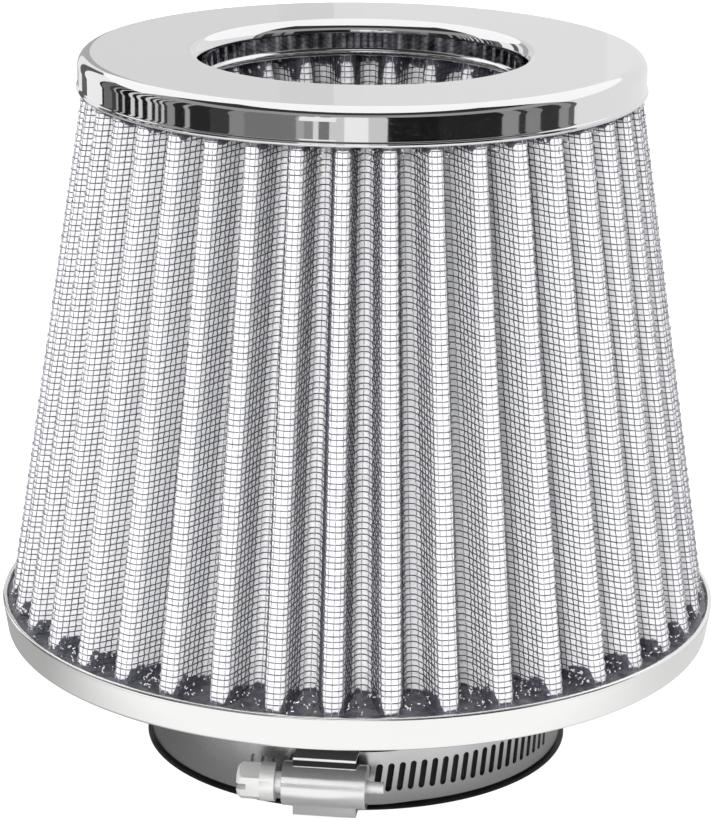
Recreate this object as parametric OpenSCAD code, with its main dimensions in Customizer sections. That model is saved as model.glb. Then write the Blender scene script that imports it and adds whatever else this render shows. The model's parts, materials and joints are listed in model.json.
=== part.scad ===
// Cone air filter with an open, inverted inner cone in its top cap.
// Frame: the origin is the centre of the neck's lower end, +Z runs up the axis,
// and the clamp's housing faces -Y. Angles are read from the front, to the right.
// All lengths are in millimetres.

/* [Neck] */
// Diameter of the pipe that the neck fits
pipe_d = 76; // [60:0.5:80]
// Wall of the rubber neck where the clamp sits
neck_wall = 5; // [3:0.1:6]
// Length of the neck below the base ring
neck_drop = 25.2; // [22:0.1:40]
// Height of the bead at the neck's lower end
bead_h = 0.6; // [0.5:0.1:1.4]
// How far the bead stands out from the clamp's seat
bead_out = 1.7; // [1:0.1:2.5]
// Lead-in chamfer of the bore
lead_in = 1; // [0.5:0.1:2]
// Fillet where the neck meets the base
neck_fillet = 4; // [2:0.5:6]

/* [Base ring] */
// Outer diameter over the rolled lip
lip_d = 150; // [144:1:170]
// Height of the base ring
ring_h = 7.4; // [6:0.1:12]
// How much smaller in radius the ring is at its lower edge
ring_taper = 0.9; // [0:0.1:2]
// Thickness of the ring's sheet
ring_sheet = 0.6; // [0.4:0.1:0.9]
// Radius of the rolled lip
lip_roll = 0.55; // [0.4:0.05:0.9]
// Radius of the ring's lower corner
ring_corner = 1.4; // [1:0.1:2.5]
// Width of the foot that turns in under the base
ring_foot = 8; // [4:0.5:12]
// How far the base's top face lies below the lip
base_recess = 0.8; // [0.4:0.1:1.5]

/* [Pleated cone] */
// Height of the pleated cone between the base and the cap's potting
element_h = 108; // [80:0.5:160]
// Number of pleats
pleat_count = 40; // [30:1:44]
// Depth of a pleat
pleat_depth = 10; // [8:0.5:11]
// Height over which a crest is rounded
crest_round = 1.4; // [1:0.1:1.6]
// Height over which a valley is rounded
valley_round = 1.2; // [0.8:0.1:1.6]
// Direction of the first crest from the front, in degrees
crest_angle = 5.4; // [0:0.1:9]
// Room between the crests and the rolled lip
lip_room = 0.5; // [0.5:0.1:3]
// How far the crests stay inside the outer face of the cap's skirt
skirt_room = 1; // [0.5:0.1:3]
// Height to which the base's potting climbs in a valley
base_climb = 4.5; // [3:0.1:6]
// How far the cap's potting hangs down in a valley
cap_hang = 2; // [1:0.1:3]

/* [Filter sheet] */
// Thickness of a wire screen
screen_t = 0.4; // [0.3:0.05:0.5]
// Thickness of the filter medium
media_t = 0.8; // [0.6:0.05:0.9]

/* [Top cap] */
// Outer diameter of the cap
cap_d = 116; // [112:1:140]
// Height of the cap's skirt
cap_h = 7.6; // [7:0.1:14]
// Radius of the cap's upper edge
cap_edge = 2.6; // [1.5:0.1:3.5]
// Thickness of the cap's sheet
cap_sheet = 0.8; // [0.5:0.1:1]
// Radius of the rolled edge at the foot of the skirt
skirt_roll = 0.6; // [0.5:0.05:0.8]
// Diameter of the mouth's throat
mouth_d = 66; // [60:0.2:70]
// Radius with which the plate rolls into the mouth
mouth_roll = 2.8; // [2:0.1:4]
// Depth of the throat below the plate
mouth_depth = 7.6; // [7:0.1:8.2]
// Radius of the rolled edge at the foot of the throat
throat_roll = 0.65; // [0.5:0.05:0.8]

/* [Inner cone] */
// Height of the inverted inner cone
inner_h = 65; // [40:0.5:75]
// Number of pleats in the inner cone
inner_count = 24; // [18:1:26]
// Depth of an inner pleat
inner_depth = 8; // [6:0.5:9]
// Radius of the inner crests at the closed end
inner_end_r = 22; // [20:0.5:28]
// Thickness of the disc that closes the inner cone
disc_t = 4; // [3:0.5:8]
// Height of the disc's rim
rim_h = 2; // [1:0.5:4]
// Width of the disc's rim
rim_w = 1.5; // [1:0.5:3]

/* [Clamp band] */
// Width of the band
band_w = 11.5; // [9:0.1:14]
// Thickness of the band
band_t = 0.65; // [0.5:0.05:0.8]
// Spacing of the slots along the band
slot_pitch = 2.4; // [2.2:0.05:3]
// Width of a slot
slot_w = 1.3; // [0.8:0.05:1.4]
// Length of a slot
slot_l = 6.2; // [4:0.1:7]
// Lean of the slots, in degrees
slot_lean = 7.6; // [0:0.2:12]
// Direction of the inner layer's free end, in degrees
under_end = 4; // [3:0.5:20]
// Direction of the outer layer's tail, in degrees
tail_end = -33; // [-60:1:-31]
// Direction of the last slot on the right, in degrees
slot_end = 64.8; // [40:0.2:90]
// Length of the ramp that climbs over the inner layer, in degrees
ramp = 12; // [8:1:24]

/* [Clamp housing] */
// Direction of the housing, in degrees
housing_angle = -7.2; // [-9:0.1:-5]
// Length of the barrel over the screw
barrel_l = 17; // [15:0.5:18]
// Thickness of the barrel and of the housing's walls
barrel_wall = 0.8; // [0.6:0.05:1]
// Length of the saddle that grips the band
saddle_l = 12.8; // [10:0.2:14]
// Thickness of the saddle's side walls
saddle_wall = 0.5; // [0.4:0.05:0.6]
// How far the saddle's side walls stand out beyond the screw's axis
saddle_out = 1.6; // [1:0.1:2]

/* [Clamp screw] */
// Radius of the screw over its thread
screw_r = 3.5; // [3:0.1:3.6]
// Radius of the screw's shank behind the head
shank_r = 2.2; // [1.6:0.1:2.6]
// Free length of the shank between the barrel and the collar
shank_gap = 1.5; // [0.8:0.1:3]
// Radius of the collar
collar_r = 3.95; // [3:0.05:4]
// Thickness of the collar
collar_t = 3; // [1:0.1:4]
// Width of the hexagonal head across its flats
head_flats = 7; // [6:0.1:7]
// Length of the hexagonal head
head_l = 4.7; // [3:0.1:6]
// Width of the screwdriver slot
driver_w = 1.2; // [0.8:0.1:1.6]
// Depth of the screwdriver slot
driver_depth = 2; // [1:0.1:2.5]
// Radius of the pin at the screw's tip
tip_r = 1.2; // [0.8:0.1:1.6]
// Length of the tip beyond the barrel
tip_l = 3.4; // [1:0.1:5]

/* [Hidden] */
$fn = 96;
fit = 0.05;        // gap between pieces that are seated in one another
bearing = 0.08;    // radial clearance of the turning screw in its bearings
thread_gap = 0.1;  // clearance between the thread and the band below it
bore_gap = 0.2;    // clearance between the thread and the barrel around it
fillet_gap = 0.16; // gap along the pleats on either side of a fillet of potting
arc_steps = 8;     // straight steps in a quarter turn of a sheet's bend
sink = 0.4;        // how far a fused detail reaches into its carrier
FRONT = -90;       // mathematical angle of the front, -Y

// Neck, base and ring
bore_r = pipe_d / 2;
neck_r = bore_r + neck_wall;
ring_z = neck_drop;
lip_z = ring_z + ring_h;
lip_r = lip_d / 2;
ring_r = lip_r - ring_taper;
seat_z = lip_z - base_recess;

// Cap, with the packs' upper ends against its potting and just below its skirt
potting_z = seat_z + element_h;
cap_r = cap_d / 2;
mouth_r = mouth_d / 2;
cap_z = potting_z + fit;
top_z = cap_z + cap_h;
throat_z = max(top_z - mouth_depth, potting_z);

// Pleated sheets: screen, medium, screen
media_in = screen_t + fit / 2;
back_in = media_in + media_t + fit / 2;
sheet_t = back_in + screen_t;
crest_base_r = lip_r - 2 * lip_roll - lip_room;
crest_top_r = cap_r - skirt_room;
inner_top_r = mouth_r + cap_sheet / 2 + throat_roll + fit;
inner_z = potting_z - inner_h;

// Shape of one pleat, as shares of the pitch on either side of the crest
CREST_FLAT = 0.14;
CREST_SIDE = 0.23;
VALLEY_SIDE = 0.34;
VALLEY_FLAT = 0.42;

// Clamp
band_r = neck_r + fit;
band_z = bead_h + fit + saddle_wall;
band_mid = band_z + band_w / 2;
layer_r = band_r + band_t + fit;
layer_out_r = layer_r + band_t;
ramp_start = under_end + 1.5 + ramp;
slot_step = slot_pitch / layer_out_r * 180 / PI;
axis_r = layer_out_r + thread_gap + screw_r;
barrel_in_r = screw_r + bore_gap;
barrel_r = barrel_in_r + barrel_wall;
window = barrel_in_r - saddle_wall;
window_y = axis_r - layer_out_r - thread_gap;

// Points on an arc about c, from angle a0 to angle a1
function arc(c, r, a0, a1, steps = arc_steps) =
    [for (i = [0:steps]) let (a = a0 + (a1 - a0) * i / steps) c + r * [cos(a), sin(a)]];

function reversed(list) = [for (i = [len(list) - 1:-1:0]) list[i]];

function unit(v) = v / norm(v);

function left_of(v) = [-v[1], v[0]];

// A closed outline moved by d to the left of its direction, with mitred corners
function moved_in(outline, d) =
    let (n = len(outline))
    [for (i = [0:n - 1])
        let (before = left_of(unit(outline[i] - outline[(i + n - 1) % n])),
             after = left_of(unit(outline[(i + 1) % n] - outline[i])))
        outline[i] + d * (before + after) / (1 + before * after)];

// The eight corners of a pleat: its place as a share of the pitch, and its depth
function pleat_corners(depth) = [
    [-VALLEY_FLAT, depth], [-VALLEY_SIDE, depth - valley_round], [-CREST_SIDE, crest_round],
    [-CREST_FLAT, 0], [CREST_FLAT, 0], [CREST_SIDE, crest_round],
    [VALLEY_SIDE, depth - valley_round], [VALLEY_FLAT, depth]];

// A point of the pleats: depth counts inward where side is -1 and outward where it is 1
function on_pleat(corner, k, count, crest_r, side) =
    let (a = FRONT + crest_angle + 360 / count * (k + corner[0]), r = crest_r + side * corner[1])
    [r * cos(a), r * sin(a)];

// Outline of a whole pleated wall at the height where its crests lie at crest_r
function pleated_outline(count, depth, crest_r, side) =
    [for (k = [0:count - 1]) for (corner = pleat_corners(depth)) on_pleat(corner, k, count, crest_r, side)];

function at_height(outline, z) = [for (p = outline) [p[0], p[1], z]];

// Solid between rings of points, where the last ring joins the first again. Each face is split
// from the lower ring's point to the upper ring's next one, whichever comes first, so that the
// walls of nested layers stay side by side where they twist
module closed_loft(rings) {
    n = len(rings[0]);
    m = len(rings);
    faces = [for (j = [0:m - 1]) for (i = [0:n - 1])
        let (a = j * n, b = ((j + 1) % m) * n, next = (i + 1) % n,
             falls = rings[j][0][2] > rings[(j + 1) % m][0][2])
        each falls ? [[a + i, b + i, a + next], [a + next, b + i, b + next]]
                   : [[a + i, b + i, b + next], [a + i, b + next, a + next]]];
    polyhedron(points = [for (ring = rings) each ring], faces = faces);
}

// Prism between a lower and an upper outline with the same number of corners
module prism(lower, upper) {
    n = len(lower);
    sides = [for (i = [0:n - 1]) let (next = (i + 1) % n)
        each [[i, n + i, n + next], [i, n + next, next]]];
    ends = [[for (i = [0:n - 1]) i], [for (i = [n - 1:-1:0]) n + i]];
    polyhedron(points = concat(lower, upper), faces = concat(sides, ends));
}

// One layer of the outer cone's sheet, from depth d to depth d + t below its outer face
module cone_layer(d, t) {
    low = pleated_outline(pleat_count, pleat_depth, crest_base_r, -1);
    high = pleated_outline(pleat_count, pleat_depth, crest_top_r, -1);
    closed_loft([
        at_height(moved_in(low, d), seat_z), at_height(moved_in(high, d), potting_z),
        at_height(moved_in(high, d + t), potting_z), at_height(moved_in(low, d + t), seat_z)]);
}

// One layer of the inner cone's sheet, from depth d to depth d + t behind its facing side
module inner_layer(d, t) {
    low = pleated_outline(inner_count, inner_depth, inner_end_r, 1);
    high = pleated_outline(inner_count, inner_depth, inner_top_r, 1);
    closed_loft([
        at_height(moved_in(low, -d - t), inner_z), at_height(moved_in(high, -d - t), potting_z),
        at_height(moved_in(high, -d), potting_z), at_height(moved_in(low, -d), inner_z)]);
}

// Fillet of potting that fills valley k of the outer cone: it starts at the height z and
// its point climbs the valley's floor by rise, which is negative under the cap
module valley_fillet(k, z, rise, depth_out) {
    function crest_r(h) = crest_base_r + (crest_top_r - crest_base_r) * (h - seat_z) / element_h;
    function floor_point(share, depth, h) =
        let (pitch = 2 * PI * (crest_r(h) - depth) / pleat_count)
        on_pleat([0.5 + share * (1 - fillet_gap / (abs(share) * pitch)), depth - fillet_gap / 2],
                 k, pleat_count, crest_r(h), -1);
    corners = [
        [0.5 - VALLEY_FLAT, pleat_depth], [0.5 - VALLEY_SIDE, pleat_depth - valley_round],
        [0.5 - CREST_SIDE, depth_out], [-0.5 + CREST_SIDE, depth_out],
        [-0.5 + VALLEY_SIDE, pleat_depth - valley_round], [-0.5 + VALLEY_FLAT, pleat_depth]];
    climb = [for (c = corners) rise * (0.12 + 0.88 * (c[1] - depth_out) / (pleat_depth - depth_out))];
    foot = z - sign(rise) * sink;
    flat_end = [for (c = corners) let (p = floor_point(-c[0], c[1], z)) [p[0], p[1], foot]];
    slope_end = [for (i = [0:len(corners) - 1])
        let (c = corners[i], h = z + climb[i], p = floor_point(-c[0], c[1], h)) [p[0], p[1], h]];
    if (rise > 0) prism(flat_end, slope_end);
    else prism(slope_end, flat_end);
}

// Section of the base ring's wall, from the foot's edge to the lip, moved in by d
function ring_path(d) =
    let (corner = [ring_r - ring_corner, ring_z + ring_corner])
    concat([[ring_r - ring_foot, ring_z + d]],
           arc(corner, ring_corner - d, -90, 0),
           [[lip_r - d, lip_z - lip_roll]]);

// Section of the cap's sheet, from the skirt's foot to the throat's foot, moved in by d
function cap_path(d) =
    concat([[cap_r - d, cap_z + skirt_roll]],
           arc([cap_r - cap_edge, top_z - cap_edge], cap_edge - d, 0, 90),
           arc([mouth_r + mouth_roll, top_z - mouth_roll], mouth_roll - d, 90, 180),
           [[mouth_r + d, throat_z + throat_roll]]);

module rubber_base() {
    edge = ring_path(ring_sheet + fit);
    foot_in = ring_r - ring_foot - fit;
    bead_r = neck_r + bead_out;
    bead_round = bead_h / 2;
    section = concat(
        [[bore_r, lead_in], [bore_r + lead_in, 0]],
        arc([bead_r - bead_round, bead_round], bead_round, -90, 90),
        [[neck_r, bead_h]],
        arc([neck_r + neck_fillet, ring_z - neck_fillet], neck_fillet, 180, 90),
        [[foot_in, ring_z], [foot_in, edge[0][1]]],
        [for (i = [1:len(edge) - 2]) edge[i]],
        [[lip_r - 2 * lip_roll - fit, seat_z - lip_roll]],
        [[lip_r - 2 * lip_roll - fit, seat_z], [bore_r, seat_z]]);
    color("#26272b") {
        rotate_extrude() polygon(section);
        for (k = [0:pleat_count - 1])
            valley_fillet(k, seat_z, base_climb, crest_round);
    }
}

module base_ring() {
    section = concat(ring_path(0), reversed(ring_path(ring_sheet)));
    color("#e8e8e6") rotate_extrude() {
        polygon(section);
        translate([lip_r - lip_roll, lip_z - lip_roll]) circle(r = lip_roll, $fn = 32);
    }
}

module cone_outer_screen() {
    color("#d4d5db") cone_layer(0, screen_t);
}

module cone_media() {
    color("#f1f0ec") cone_layer(media_in, media_t);
}

module cone_inner_screen() {
    color("#c4c5cb") cone_layer(back_in, screen_t);
}

module top_cap() {
    section = concat(cap_path(0), reversed(cap_path(cap_sheet)));
    color("#d9dadd") rotate_extrude() {
        polygon(section);
        translate([cap_r - skirt_roll, cap_z + skirt_roll]) circle(r = skirt_roll, $fn = 32);
        translate([mouth_r + cap_sheet / 2, throat_z + throat_roll]) circle(r = throat_roll, $fn = 32);
    }
}

module top_potting() {
    inner = cap_path(cap_sheet + fit);
    last = len(inner) - 1;
    skirt_in = cap_r - 2 * skirt_roll - fit;
    throat_out = mouth_r + cap_sheet / 2 + throat_roll + fit;
    section = concat(
        [[skirt_in, potting_z], [skirt_in, inner[0][1] + skirt_roll]],
        [[inner[0][0], inner[0][1] + skirt_roll]],
        [for (i = [1:last - 1]) inner[i]],
        [[inner[last][0], inner[last][1] + throat_roll]],
        [[throat_out, inner[last][1] + throat_roll], [throat_out, potting_z]]);
    color("#3b3c42") {
        rotate_extrude() polygon(section);
        for (k = [0:pleat_count - 1])
            valley_fillet(k, potting_z, -cap_hang, crest_round);
    }
}

module inner_cone_facing_screen() {
    color("#d4d5db") inner_layer(0, screen_t);
}

module inner_cone_media() {
    color("#f1f0ec") inner_layer(media_in, media_t);
}

module inner_cone_back_screen() {
    color("#c4c5cb") inner_layer(back_in, screen_t);
}

// Moulded dish that closes the inner cone's lower end
module inner_cone_disc() {
    flare = (inner_top_r - inner_end_r) * rim_h / inner_h;
    pack_r = inner_end_r + inner_depth + sheet_t + flare + 2 * fit;
    color("#3b3c42") difference() {
        translate([0, 0, inner_z - disc_t]) cylinder(r = pack_r + rim_w, h = disc_t + rim_h);
        translate([0, 0, inner_z]) cylinder(r = pack_r, h = rim_h + 1);
    }
}

// Inner radius of the band in direction a, counted on through the whole turn
function layer_at(a) =
    let (s = min(1, max(0, (ramp_start - 360 - a) / ramp)))
    band_r + (layer_r - band_r) * s * s * (3 - 2 * s);

// A strap wound once round the neck that climbs over its own inner end
module band_strap() {
    turn = concat(
        [for (a = [under_end:-3:ramp_start - 360]) a],
        [for (i = [1:8]) ramp_start - 360 - i * ramp / 8],
        [for (a = [ramp_start - ramp - 363:-3:tail_end - 360]) a],
        [tail_end - 360]);
    function strap_point(a, out) = (layer_at(a) + out) * [cos(a + FRONT), sin(a + FRONT)];
    strap = concat([for (a = turn) strap_point(a, 0)], [for (a = reversed(turn)) strap_point(a, band_t)]);
    translate([0, 0, band_z]) linear_extrude(band_w) polygon(strap);
}

module obround(width, length) {
    half = (length - width) / 2;
    polygon(concat(arc([0, half], width / 2, 0, 180, 6), arc([0, -half], width / 2, 180, 360, 6)));
}

module clamp_band() {
    slot_count = floor((slot_end - tail_end - slot_step) / slot_step);
    color("#c9c9c7") difference() {
        band_strap();
        for (k = [0:slot_count]) {
            a = slot_end - k * slot_step;
            rotate([0, 0, a])
                translate([0, -layer_at(a - 360) + fit / 2, band_mid])
                    rotate([90, 0, 0]) rotate([0, 0, -slot_lean])
                        linear_extrude(band_t + 1) obround(slot_w, slot_l);
        }
    }
}

// Puts its children at the middle of the screw's axis: X runs along the screw, -Y points outward
module at_screw() {
    rotate([0, 0, housing_angle]) translate([0, -axis_r, band_mid]) children();
}

// Extrudes a section drawn in Y and Z along X, from x0 to x1
module along_x(x0, x1) {
    translate([x0, 0, 0]) rotate([90, 0, 90]) linear_extrude(x1 - x0) children();
}

module barrel_section(hole_r) {
    difference() {
        circle(r = barrel_r);
        circle(r = hole_r);
        translate([window_y, -barrel_r]) square([barrel_r, 2 * barrel_r]);
    }
}

// Sheet housing: a saddle round the band's edges, whose side walls are folded up to the
// barrel over the screw, and two end walls
module clamp_housing() {
    half = barrel_l / 2;
    saddle = saddle_l / 2;
    side = band_w / 2;
    plate_y = window_y - barrel_wall;
    hook_y = axis_r - neck_r - 2 * fit;
    web_z = sqrt(pow(barrel_r - sink, 2) - pow(saddle_out, 2));
    color("#b9b9b6") at_screw() {
        along_x(-half, half) difference() {
            barrel_section(barrel_in_r);
            translate([0, -window]) square([barrel_r, 2 * window]);
        }
        along_x(-half, barrel_wall - half) barrel_section(shank_r + bearing);
        along_x(half - barrel_wall, half) barrel_section(tip_r + bearing);
        along_x(-saddle, saddle) {
            difference() {
                translate([plate_y, -side - saddle_wall]) square([barrel_wall, 2 * (side + saddle_wall)]);
                translate([plate_y - 1, -window]) square([barrel_wall + 2, 2 * window]);
            }
            for (end = [-1, 1]) {
                translate([-saddle_out, end * (side + saddle_wall / 2) - saddle_wall / 2])
                    square([hook_y + saddle_out, saddle_wall]);
                translate([-saddle_out, end > 0 ? web_z : -side - saddle_wall])
                    square([saddle_wall, side + saddle_wall - web_z]);
            }
        }
    }
}

// Slotted hexagon screw whose thread drives the band
module clamp_screw() {
    half = barrel_l / 2;
    thread_end = half - barrel_wall - bore_gap;
    collar_x = -half - shank_gap;
    head_x = collar_x - collar_t;
    head_corner_r = head_flats / sqrt(3);
    chamfer = head_corner_r - head_flats / 2;
    color("#c2c2c0") at_screw() difference() {
        union() {
            along_x(-thread_end, thread_end) circle(r = screw_r);
            along_x(collar_x, -thread_end) circle(r = shank_r);
            along_x(head_x, collar_x) circle(r = collar_r);
            along_x(thread_end, half + tip_l) circle(r = tip_r);
            translate([head_x - head_l, 0, 0]) rotate([0, 90, 0]) intersection() {
                cylinder(r = head_corner_r, h = head_l, $fn = 6);
                cylinder(r1 = head_flats / 2 - chamfer, r2 = head_flats / 2 - chamfer + head_l, h = head_l);
            }
        }
        translate([head_x - head_l - 1, -barrel_r, -driver_w / 2])
            cube([driver_depth + 1, 2 * barrel_r, driver_w]);
    }
}

rubber_base();
base_ring();
cone_outer_screen();
cone_media();
cone_inner_screen();
top_cap();
top_potting();
inner_cone_facing_screen();
inner_cone_media();
inner_cone_back_screen();
inner_cone_disc();
clamp_band();
clamp_housing();
clamp_screw();
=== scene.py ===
# %% [markdown]
# # A cone air filter with an open inner cone
#
# White filter medium is pleated between two woven wire screens and bent round into a cone. The cone
# stands in a rubber base with a polished ring and is closed by a chromed cap. The cap is open in the
# middle, where a second, inverted cone of pleats hangs down into the first. A worm-drive clamp holds
# the rubber neck on its pipe.
#
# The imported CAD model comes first, because every piece below is fitted round it. It gives the places
# and the sizes, and this lesson gives the surfaces.

# %% Load the frame
import json
import math
from contextlib import contextmanager

import bmesh
import bpy
import numpy as np
from mathutils import Euler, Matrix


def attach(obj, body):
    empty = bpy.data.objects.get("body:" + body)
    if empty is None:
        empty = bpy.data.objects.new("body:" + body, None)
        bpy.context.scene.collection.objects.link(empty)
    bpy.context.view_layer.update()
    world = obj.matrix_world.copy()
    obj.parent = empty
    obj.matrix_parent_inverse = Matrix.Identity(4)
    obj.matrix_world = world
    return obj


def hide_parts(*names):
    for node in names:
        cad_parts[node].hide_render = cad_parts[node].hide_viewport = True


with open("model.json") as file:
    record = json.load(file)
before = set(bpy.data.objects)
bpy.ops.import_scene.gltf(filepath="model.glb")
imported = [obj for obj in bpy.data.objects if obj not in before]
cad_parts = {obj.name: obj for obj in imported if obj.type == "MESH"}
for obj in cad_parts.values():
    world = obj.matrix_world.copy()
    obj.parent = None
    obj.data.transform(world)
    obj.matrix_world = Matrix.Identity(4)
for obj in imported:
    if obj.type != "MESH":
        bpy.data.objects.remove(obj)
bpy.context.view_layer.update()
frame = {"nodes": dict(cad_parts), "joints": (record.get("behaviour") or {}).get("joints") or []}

# %% [markdown]
# ## Measuring the frame
#
# A round piece is described well by its reach: the radii and heights between which it lies. Reading
# them from the CAD nodes keeps every new surface in place if the CAD model changes. Lengths that the
# nodes can't tell, such as a bend's radius, are written here in millimetres.

# %% Reach of a CAD node
MM = 0.001


def vertices_of(mesh):
    """Places of a mesh's vertices, in metres."""
    flat = np.empty(3 * len(mesh.vertices), np.float32)
    mesh.vertices.foreach_get("co", flat)
    return flat.reshape(-1, 3).astype(float)


def corners_of(node):
    """Radius about the filter's axis and height of each of a CAD node's vertices, in metres."""
    x, y, z = vertices_of(frame["nodes"][node].data).T
    return np.hypot(x, y), z


def reach(node):
    """Smallest and largest radius, then lowest and highest z, of a CAD node."""
    r, z = corners_of(node)
    return r.min(), r.max(), z.min(), z.max()


LIP_R, RING_Z, LIP_Z = reach("base_ring")[1:]
BORE_R, SEATED_R, NECK_Z = reach("rubber_base")[:3]
CAP_R, CAP_Z, TOP_Z = reach("top_cap")[1:]
SEAT_Z, POTTING_Z = reach("cone_outer_screen")[2:]
BAND_R, _, BAND_Z, BAND_TOP = reach("clamp_band")
joint = frame["joints"][0]
screw_middle = np.array(joint["pos_m"])
screw_axis = np.array(joint["axis"])
print(f"pleats from {SEAT_Z / MM:.1f} to {POTTING_Z / MM:.1f} mm, cap radius {CAP_R / MM:.1f} mm")

# %% [markdown]
# ## The camera
#
# The photograph looks down on the filter by about 17 degrees, from close enough that the cap looks
# wide for its size. A long lens from 0.7 m gives that perspective. The picture is turned a little,
# so the camera is rolled by half a degree.

# %% Camera
def placed(name, data):
    """A new object in the scene."""
    made = bpy.data.objects.new(name, data)
    bpy.context.scene.collection.objects.link(made)
    return made


CAMERA_PLACE = (0, -0.6493, 0.2715)
CAMERA_PITCH = 17.13
CAMERA_YAW = 0.066
CAMERA_ROLL = 0.565
CAMERA_LENS = 142.84

camera_data = bpy.data.cameras.new("camera")
camera_data.lens = CAMERA_LENS
camera_data.sensor_width = 36
camera = placed("camera", camera_data)
turn = Euler((math.radians(90 - CAMERA_PITCH), 0, math.radians(CAMERA_YAW)), "XYZ").to_matrix()
camera.rotation_euler = (turn @ Euler((0, 0, math.radians(CAMERA_ROLL))).to_matrix()).to_euler()
camera.location = CAMERA_PLACE
bpy.context.scene.camera = camera

# %% [markdown]
# ## From arrays to meshes
#
# Each surface is an array of points and an array of faces that index them. `foreach_set` hands such
# arrays to Blender at once, which is what makes so many thousands of wire facets possible. A grid that
# wraps round in both directions is a closed ring, so it has no seam.

# %% Mesh from arrays
def make_piece(name, points, faces, material, slot, body="filter", stands_for=(), sharp=None, uv=None,
               **marks):
    """One piece at the origin. points is an array of places in metres, faces a list of index arrays.

    Edges bent by more than sharp degrees stay hard. uv holds a pair of numbers for each point, and
    marks holds one number for each point under a label that its material can read.
    """
    points = np.asarray(points, np.float32).reshape(-1, 3)
    corners = np.concatenate([f.ravel() for f in faces]).astype(np.int32)
    sizes = np.concatenate([np.full(len(f), f.shape[1]) for f in faces]).astype(np.int32)
    starts = np.concatenate([[0], np.cumsum(sizes)[:-1]]).astype(np.int32)
    mesh = bpy.data.meshes.new(name)
    mesh.vertices.add(len(points))
    mesh.vertices.foreach_set("co", points.ravel())
    mesh.loops.add(len(corners))
    mesh.loops.foreach_set("vertex_index", corners)
    mesh.polygons.add(len(sizes))
    mesh.polygons.foreach_set("loop_start", starts)
    mesh.polygons.foreach_set("loop_total", sizes)
    mesh.polygons.foreach_set("use_smooth", np.ones(len(sizes), bool))
    mesh.update(calc_edges=True)
    if uv is not None:
        layer = mesh.uv_layers.new(name="surface")
        layer.data.foreach_set("uv", np.asarray(uv, np.float32).reshape(-1, 2)[corners].ravel())
    for label, values in marks.items():
        layer = mesh.attributes.new(label, "FLOAT", "POINT")
        layer.data.foreach_set("value", np.asarray(values, np.float32).ravel())
    if sharp:
        mesh.set_sharp_from_angle(angle=math.radians(sharp))
    return finish_piece(placed(name, mesh), material, body, stands_for)


def finish_piece(piece, material, body="filter", stands_for=()):
    """Gives a piece its material, and lets it ride on its body in place of CAD nodes."""
    piece.data.materials.clear()
    piece.data.materials.append(material)
    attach(piece, body)
    if stands_for:
        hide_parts(*stands_for)
    triangles = sum(len(p.vertices) - 2 for p in piece.data.polygons)
    print(f"{piece.name}: {triangles} triangles")
    return piece


def grid_faces(rows, columns, wrap_rows=False, wrap_columns=True):
    """Quads between the neighbours of a grid of points, rows running up and columns anticlockwise."""
    i = np.arange(rows if wrap_rows else rows - 1)[:, None]
    j = np.arange(columns if wrap_columns else columns - 1)[None, :]
    above, beside = (i + 1) % rows, (j + 1) % columns
    quads = np.stack(np.broadcast_arrays(
        i * columns + j, i * columns + beside, above * columns + beside, above * columns + j), -1)
    return quads.reshape(-1, 4)


# %% [markdown]
# ## Shader parts that the finishes share
#
# A finish is made from a few effects: a slow change of tone, fine scratches, felted fibres, a woven
# screen. Each is a node group with named inputs, built once and set differently in each material.
# Small helpers write the nodes, so that a material reads like a recipe.

# %% Node helpers
def plug(tree, socket, value):
    """Links a socket to another, or sets its value."""
    if isinstance(value, bpy.types.NodeSocket):
        tree.links.new(value, socket)
    else:
        socket.default_value = value


def add(tree, kind, *in_order, take=0, **named):
    """Adds a shader node and returns one output. Names are the node's settings or its inputs."""
    made = tree.nodes.new("ShaderNode" + kind)
    for name, value in named.items():
        if name in made.bl_rna.properties:
            setattr(made, name, value)
    for name, value in named.items():
        if name not in made.bl_rna.properties:
            plug(tree, made.inputs[name.replace("_", " ")], value)
    for socket, value in zip(made.inputs, in_order):
        plug(tree, socket, value)
    return made.outputs[take]


def calc(tree, operation, *values):
    """A Math node."""
    return add(tree, "Math", *values, operation=operation)


def ramp(tree, value, low, high, out_low=0.0, out_high=1.0):
    """Maps low..high to out_low..out_high with a smooth step and holds the ends."""
    return add(tree, "MapRange", value, low, high, out_low, out_high, interpolation_type="SMOOTHSTEP")


def blend(tree, factor, first, second):
    """Mixes two colours, each a triple or a socket."""
    mix = tree.nodes.new("ShaderNodeMix")
    mix.data_type = "RGBA"
    plug(tree, mix.inputs[0], factor)
    for place, value in ((6, first), (7, second)):
        plug(tree, mix.inputs[place], (*value[:3], 1) if isinstance(value, tuple) else value)
    return mix.outputs[2]


def xyz(tree, place):
    """The three parts of a place."""
    split = tree.nodes.new("ShaderNodeSeparateXYZ")
    plug(tree, split.inputs[0], place)
    return split.outputs


def shader_group(name, inputs, outputs):
    """Starts a node group. inputs maps a label to its default, outputs lists label and kind."""
    group = bpy.data.node_groups.new(name, "ShaderNodeTree")
    for label, default in inputs.items():
        kind = "NodeSocketFloat" if isinstance(default, float) else "NodeSocketVector"
        socket = group.interface.new_socket(label, in_out="INPUT", socket_type=kind)
        if kind == "NodeSocketFloat":
            socket.default_value = default
    for label in outputs:
        group.interface.new_socket(label, in_out="OUTPUT", socket_type="NodeSocketFloat")
    return group, group.nodes.new("NodeGroupInput").outputs, group.nodes.new("NodeGroupOutput").inputs


def use(tree, group, **named):
    """Places a node group in a material and returns its outputs by name."""
    made = tree.nodes.new("ShaderNodeGroup")
    made.node_tree = group
    for name, value in named.items():
        plug(tree, made.inputs[name.replace("_", " ")], value)
    return made.outputs


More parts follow.
